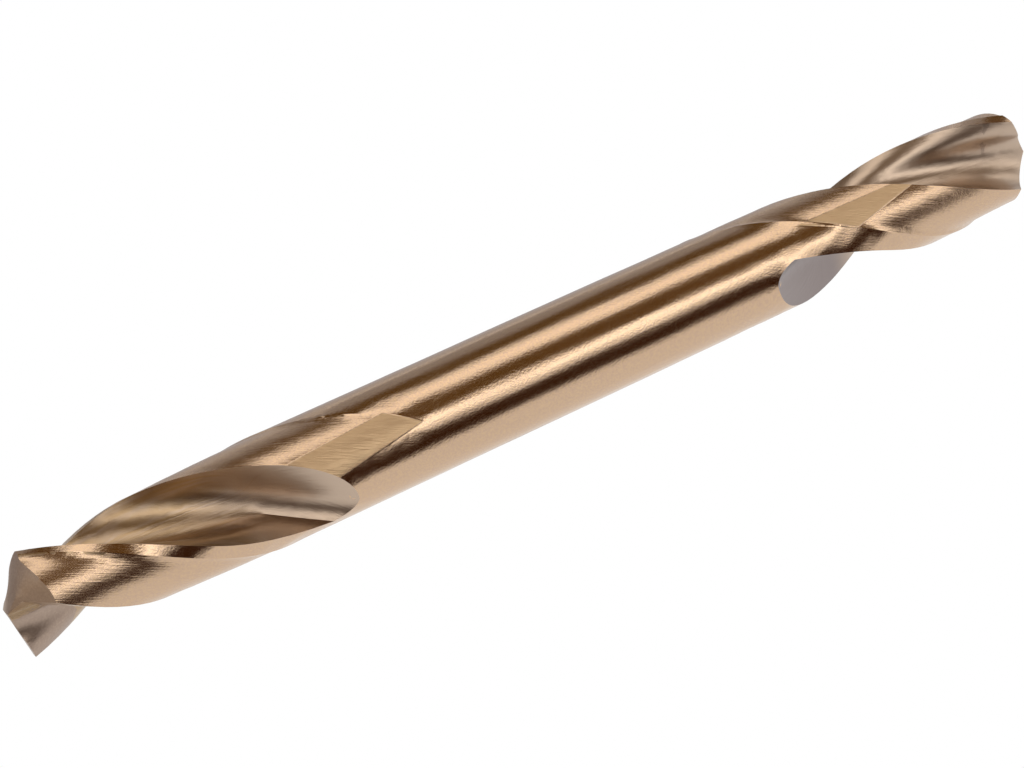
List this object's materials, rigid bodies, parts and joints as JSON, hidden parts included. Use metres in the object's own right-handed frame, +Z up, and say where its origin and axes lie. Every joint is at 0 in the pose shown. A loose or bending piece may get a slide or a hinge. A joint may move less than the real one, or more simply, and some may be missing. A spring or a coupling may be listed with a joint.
{
  "type": "double-ended drill bit",
  "caption": "Short double-ended twist drill: a plain round body with right-hand flutes, relieved lands and a split point at each end.",
  "frame": {"origin": "centre of the bar, on its axis, halfway between the two points", "axes": "+X along the bar towards the far point of the picture, +Z up"},
  "size_m": [0.066, 0.006, 0.006],
  "materials": {
    "tool_steel": "satin ground, bronze-tinted high-speed steel"
  },
  "bodies": {
    "root": {"drill_bit": "tool_steel"}
  },
  "joints": []
}
